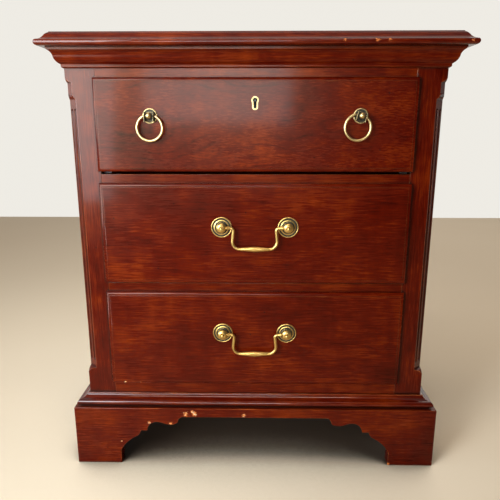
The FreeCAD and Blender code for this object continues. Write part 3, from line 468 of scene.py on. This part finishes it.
top_low, top_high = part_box("top_board")
nose_z = top_low.z + NOSE_ROUND
top_half = (top_high.x - top_low.x) / 2
nose_knocks = [(Vector((share * top_half, top_low.y, nose_z + lift * MM)), radius * MM)
               for share, lift, radius in ((0.40, 2.0, 3.4), (0.545, 2.6, 4.4), (0.60, 2.4, 3.4),
                                           (0.965, 0.6, 3.0))]
top_cherry = cherry("top_cherry", nose_knocks, wear=0.4, warm=0.05, bared=(0.24, 0.060, 0.022),
                    polish=0.45)
cornice_cherry = cherry("cornice_cherry", wear=0.3, warm=0.03)
sawn("top_board", "xyz", top_cherry, heart=0.10, lean=0.05, apex=-0.1, serial=50, ease=0.5 * MM)
run_round("cornice", cornice_cherry, 51)

# Each drawer is a cherry front with a thumbnail-moulded lip, dovetailed to pale maple sides, with a
# plain back and a thin plywood bottom that slides in a groove. The upper front is the most figured.

maple = plain_wood("maple", (0.40, 0.255, 0.13), (0.66, 0.49, 0.30), 0.46)
fronts = {"upper": (0.012, 0.16, -0.20, 0.17, 0.0150), "middle": (0.085, 0.03, 0.22, 0.10, 0.009),
          "lower": (0.10, -0.03, 0.1, 0.09, 0.008)}
front_knocks = {"upper": (), "middle": (), "lower": ((-0.905, 3.6), (-0.80, 3.2), (-0.11, 2.6))}
for serial, (drawer, (heart, lean, apex, figure, year)) in enumerate(fronts.items()):
    low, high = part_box(f"{drawer}_drawer_front")
    half = (high.x - low.x) / 2
    chips = [(Vector((share * half, low.y + 2 * MM, low.z + 1 * MM)), radius * MM)
             for share, radius in front_knocks[drawer]]
    front_cherry = cherry(f"{drawer}_front_cherry", chips, 0.45, 0.0, figure, year)
    sawn(f"{drawer}_drawer_front", "xzy", front_cherry, heart, lean, apex, 60 + serial)
    for hand in ("left", "right"):
        sawn(f"{drawer}_drawer_side_{hand}", "yzx", maple, 0.09, 0.02, 0.0, 63 + serial)
    sawn(f"{drawer}_drawer_back", "xzy", maple, 0.09, 0.02, 0.0, 66 + serial)
    sawn(f"{drawer}_drawer_bottom", "xyz", plywood, 0.30, 0.0, 0.0, 69 + serial, PANEL_EASE)

# The ring pulls are cast brass: a dished plate, a post with a ball finial between two thin cheeks,
# and a wire ring whose ends turn in the cheeks. Hollows are darkened and high spots are polished.


def brass(name, low, high):
    """Cast brass whose colour clouds between two tones."""
    f = Finish(name)
    where = f.node("TexCoord", output="Object")
    cloud = f.speckle(where, (160.0, 160.0, 160.0), 3.0)
    grime = f.step(f.attribute("tarnish") + (cloud - 0.5) * 0.5, 0.15, 0.85)
    grime = grime * (1 - f.attribute("arris") * 0.85)
    gold = f.mix(cloud, low, high)
    f.feed(f.shader.inputs["Base Color"], f.mix(grime, gold, (0.030, 0.023, 0.011)))
    f.feed(f.shader.inputs["Metallic"], 1.0 - grime * 0.35)
    scratch = f.speckle(where, (900.0, 900.0, 260.0), 2.0)
    f.feed(f.shader.inputs["Roughness"], 0.29 + scratch * 0.14 + grime * 0.25)
    f.bump(scratch, 0.012 * MM)
    return f.material


def blacken(shape, darkness):
    """Mark how dark the metal is at each point, as a function of that point."""
    layer = shape.verts.layers.float.new("tarnish")
    for vert in shape.verts:
        vert[layer] = darkness(vert.co)
    return shape


CAST_EASE = 0.22 * MM
PLATE_EASE = 0.12 * MM


def cast(node, finish, darkness, ease=CAST_EASE):
    settled(blacken(eased(node, ease, 0.6 * MM), darkness), f"{node}_cast", finish, node)


pale_brass = brass("pale_brass", (0.42, 0.28, 0.105), (0.60, 0.43, 0.195))
face_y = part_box("ring_pull_plates")[1].y


def pair_centres(node):
    """The middles of a left and a right round plate that share one node."""
    low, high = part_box(node)
    radius = (high.z - low.z) / 2
    height = (low.z + high.z) / 2
    return [Vector((x, height)) for x in (low.x + radius, high.x - radius)], radius


def spread_from(centres):
    """How far a point is from the nearer of two centres, seen from the front."""
    return lambda point: min((Vector((point.x, point.z)) - centre).length for centre in centres)


ring_centres, plate_radius = pair_centres("ring_pull_plates")
from_ring_post = spread_from(ring_centres)
cast("ring_pull_plates", pale_brass,
     lambda point: 0.0 if from_ring_post(point) > 0.86 * plate_radius else 1.0, PLATE_EASE)


def saddle_darkness(point):
    """The ball and what stands furthest forward are bright. The cheeks' faces are dark."""
    ahead = face_y - point.y
    return 0.0 if ahead > 8 * MM and from_ring_post(point) < 5 * MM else 0.96


cast("ring_pull_posts", pale_brass, saddle_darkness)
SIDES = 28
RING = 19.6 * MM
RING_WIRE = 2.1 * MM
RING_CENTRE = 16.9 * MM
TRUNNION = 1.7 * MM
SHOULDER = 8.2 * MM
CHEEK = 6.3 * MM


def swept(path, radius_at, joint, finish, filed=math.inf):
    """Sweep a round section along a flat path through a hinge, with a flat filed on its front."""
    pivot, across = Vector(joint["pos_m"]), Vector(joint["axis"]) * -1
    ahead = Vector((0, -1, 0))
    up = ahead.cross(across)
    shape = bmesh.new()
    shape.faces.layers.float.new("arris")
    tarnish = shape.verts.layers.float.new("tarnish")
    rings = []
    for index, point in enumerate(path):
        tangent = (path[min(index + 1, len(path) - 1)] - path[max(index - 1, 0)]).normalized()
        sideways = across * -tangent.y + up * tangent.x
        radius = radius_at(point)
        ring = []
        for side in range(SIDES):
            turn = math.tau * side / SIDES
            forward = min(radius * math.cos(turn), filed)
            place = ahead * forward + sideways * (radius * math.sin(turn))
            ring.append(shape.verts.new(pivot + across * point.x + up * point.y + place))
            ring[-1][tarnish] = 0.05
        rings.append(ring)
    for first, second in zip(rings, rings[1:]):
        for side in range(SIDES):
            after = (side + 1) % SIDES
            shape.faces.new((first[side], first[after], second[after], second[side]))
    shape.faces.new(rings[0])
    shape.faces.new(reversed(rings[-1]))
    settled(shape, f"{joint['child']}_cast", finish, joint["child"])


def ring_path():
    """From one trunnion's tip, round the ring to the other's."""
    start = math.asin(RING_CENTRE / RING)
    turns = [start - (math.pi + 2 * start) * step / 72 for step in range(73)]
    arc = [Vector((RING * math.cos(turn), RING * math.sin(turn) - RING_CENTRE)) for turn in turns]
    return [Vector((CHEEK, 0)), Vector((SHOULDER, 0)), *arc, Vector((-SHOULDER, 0)),
            Vector((-CHEEK, 0))]


def ring_radius(point):
    """The trunnions, level with the pivot, are thinner than the ring itself."""
    on_trunnion = point.y > -0.001 * MM and abs(point.x) < 9 * MM
    return TRUNNION if on_trunnion else RING_WIRE


for joint in frame["joints"]:
    if joint["name"].endswith("ring_swing"):
        swept(ring_path(), ring_radius, joint, pale_brass)
cast("ring_pull_nuts", pale_brass, lambda point: 0.3)

# The bail pulls are cast brass too. Each post has a domed head with a small tip, on a rosette with
# a bright rim and rib between dark grooves.

antique = brass("antique_brass", (0.42, 0.235, 0.050), (0.62, 0.40, 0.135))

for drawer in ("middle", "lower"):
    centres, rosette_radius = pair_centres(f"{drawer}_bail_rosettes")
    from_post = spread_from(centres)

    def rosette_darkness(point, from_post=from_post, radius=rosette_radius):
        share = from_post(point) / radius
        on_rim = share > 0.905
        on_rib = 0.64 < share < 0.745
        return 0.05 if on_rim or on_rib else 0.95

    def head_darkness(point, from_post=from_post):
        ahead = face_y - point.y
        return 0.85 if ahead < 5.5 * MM else 0.04

    cast(f"{drawer}_bail_rosettes", antique, rosette_darkness, PLATE_EASE)
    cast(f"{drawer}_bail_posts", antique, head_darkness)
    cast(f"{drawer}_bail_nuts", antique, lambda point: 0.3)

# The bail itself hangs on a pin in each head. Its arms leave the heads as thick necks, drop in a
# swan's bend, and swell into a spindle grip filed flat at the front.

WIRE = 2.45 * MM
PIN = 2.0 * MM
PIN_TIP = 51.3 * MM
HEAD_FACE = 45.8 * MM
ELBOW = 34.0 * MM
HIP = 37.4 * MM
DROP = 34.6 * MM
BEND = 12.5 * MM
GRIP = 26.0 * MM
GRIP_RADIUS = 4.5 * MM
FILED = 3.75 * MM


def corner(before, point, after, radius, steps=9):
    """Points of an arc that rounds the corner of a path."""
    incoming = (before - point).normalized()
    outgoing = (after - point).normalized()
    half = incoming.angle(outgoing) / 2
    run = radius / math.tan(half)
    start = point + incoming * run
    end = point + outgoing * run
    centre = point + (incoming + outgoing).normalized() * (radius / math.sin(half))
    first, last = start - centre, end - centre
    return [centre + first.slerp(last, step / steps) * radius for step in range(steps + 1)]


def arm_path():
    """The right half of the bail, from its pin's tip to the middle of the grip."""
    tip, shoulder = Vector((PIN_TIP, 0)), Vector((ELBOW, 0))
    hip, middle = Vector((HIP, -DROP)), Vector((0, -DROP))
    straight = [tip, Vector((HEAD_FACE + 0.01 * MM, 0)), Vector((HEAD_FACE, 0))]
    straight += [Vector((HEAD_FACE - away * MM, 0)) for away in (1.0, 2.0, 3.2, 4.6)]
    path = straight + corner(tip, shoulder, hip, 4.6 * MM)
    path += corner(shoulder, hip, middle, BEND)
    grip = [Vector((GRIP * (1 - step / 14), -DROP)) for step in range(1, 15)]
    return path + [point for point in grip if point.x < path[-1].x - 0.3 * MM]


def arm_radius(point):
    """The bail's half thickness at a point of its path."""
    point = Vector((abs(point.x), point.y))
    if point.y < -DROP + 0.02 * MM and point.x < GRIP:
        along = point.x / GRIP
        return GRIP_RADIUS - (GRIP_RADIUS - 2.25 * MM) * along ** 1.25
    if point.x > HEAD_FACE:
        return PIN
    if point.y > -0.01 * MM and point.x > ELBOW:
        neck = (HEAD_FACE - point.x) / (HEAD_FACE - ELBOW)
        return WIRE + 1.15 * MM * max(0.0, 1 - 2.2 * neck) ** 0.7
    return WIRE


half_path = arm_path()
bail_path = half_path + [Vector((-point.x, point.y)) for point in reversed(half_path[:-1])]
for joint in frame["joints"]:
    if joint["name"].endswith("bail_swing"):
        swept(bail_path, arm_radius, joint, antique, FILED)

# The keyhole has a brass liner let into the upper front. Behind it is a plain steel drawer lock
# with a drill pin, and a bolt that slides up into the top rail. Four screws hold the top.


def steel(name):
    f = Finish(name)
    where = f.node("TexCoord", output="Object")
    brushed = f.speckle(where, (60.0, 900.0, 900.0), 3.0)
    black = f.attribute("tarnish")
    bright = f.mix(brushed, (0.34, 0.33, 0.32), (0.58, 0.57, 0.55))
    f.feed(f.shader.inputs["Base Color"], f.mix(black, bright, (0.018, 0.017, 0.016)))
    f.feed(f.shader.inputs["Metallic"], 1.0 - black * 0.8)
    f.feed(f.shader.inputs["Roughness"], 0.28 + brushed * 0.22 + black * 0.3)
    f.bump(brushed, 0.02 * MM)
    return f.material


dull_steel = steel("dull_steel")
cast("keyhole_escutcheon", pale_brass, lambda point: 0.30 if point.y < face_y - 0.2 * MM else 1.0,
     0.1 * MM)
pin_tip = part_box("lock_case")[0].y
cast("lock_case", dull_steel, lambda point: 0.6 if point.y < pin_tip + 0.5 * MM else 0.95)
for node in ("lock_bolt", "top_screws"):
    cast(node, dull_steel, lambda point: 0.15)
